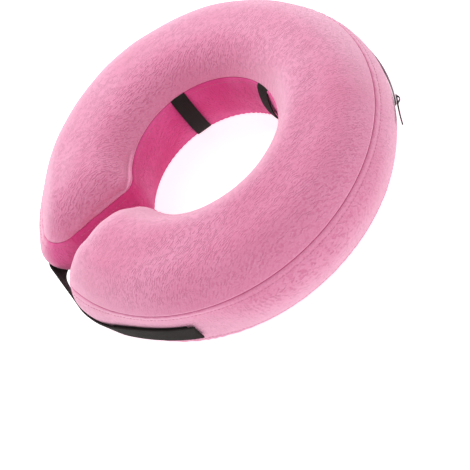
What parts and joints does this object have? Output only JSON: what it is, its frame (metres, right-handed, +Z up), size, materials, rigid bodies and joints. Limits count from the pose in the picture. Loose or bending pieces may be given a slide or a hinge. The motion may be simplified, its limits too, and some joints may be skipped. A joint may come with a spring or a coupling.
{
  "type": "inflatable recovery collar",
  "caption": "Split ring-shaped inflatable recovery collar for a pet, with a plush cover, webbing loops in its neck, a closure strap across the split and a zip at the rear.",
  "frame": {"origin": "centre of the ring, on the surface that it rests on", "axes": "+Z up through the neck opening, square to the resting surface; -Y towards the split; +X to the end that carries the grip band"},
  "size_m": [0.3458, 0.3478, 0.0914],
  "materials": {
    "plush": "short pile plush, crushed a little",
    "webbing": "woven webbing",
    "zip_tape": "coil on a woven tape",
    "slider_metal": "dark paint"
  },
  "bodies": {
    "root": {"face_panel": "plush", "back_panel": "plush", "outer_wall": "plush", "inner_wall": "plush", "end_wall_near": "plush", "end_wall_far": "plush", "neck_loop_1": "webbing", "neck_loop_2": "webbing", "neck_loop_3": "webbing", "grip_band": "webbing", "closure_strap": "webbing", "zip": "zip_tape", "zip_slider": "slider_metal", "zip_pull": "webbing"}
  },
  "joints": []
}
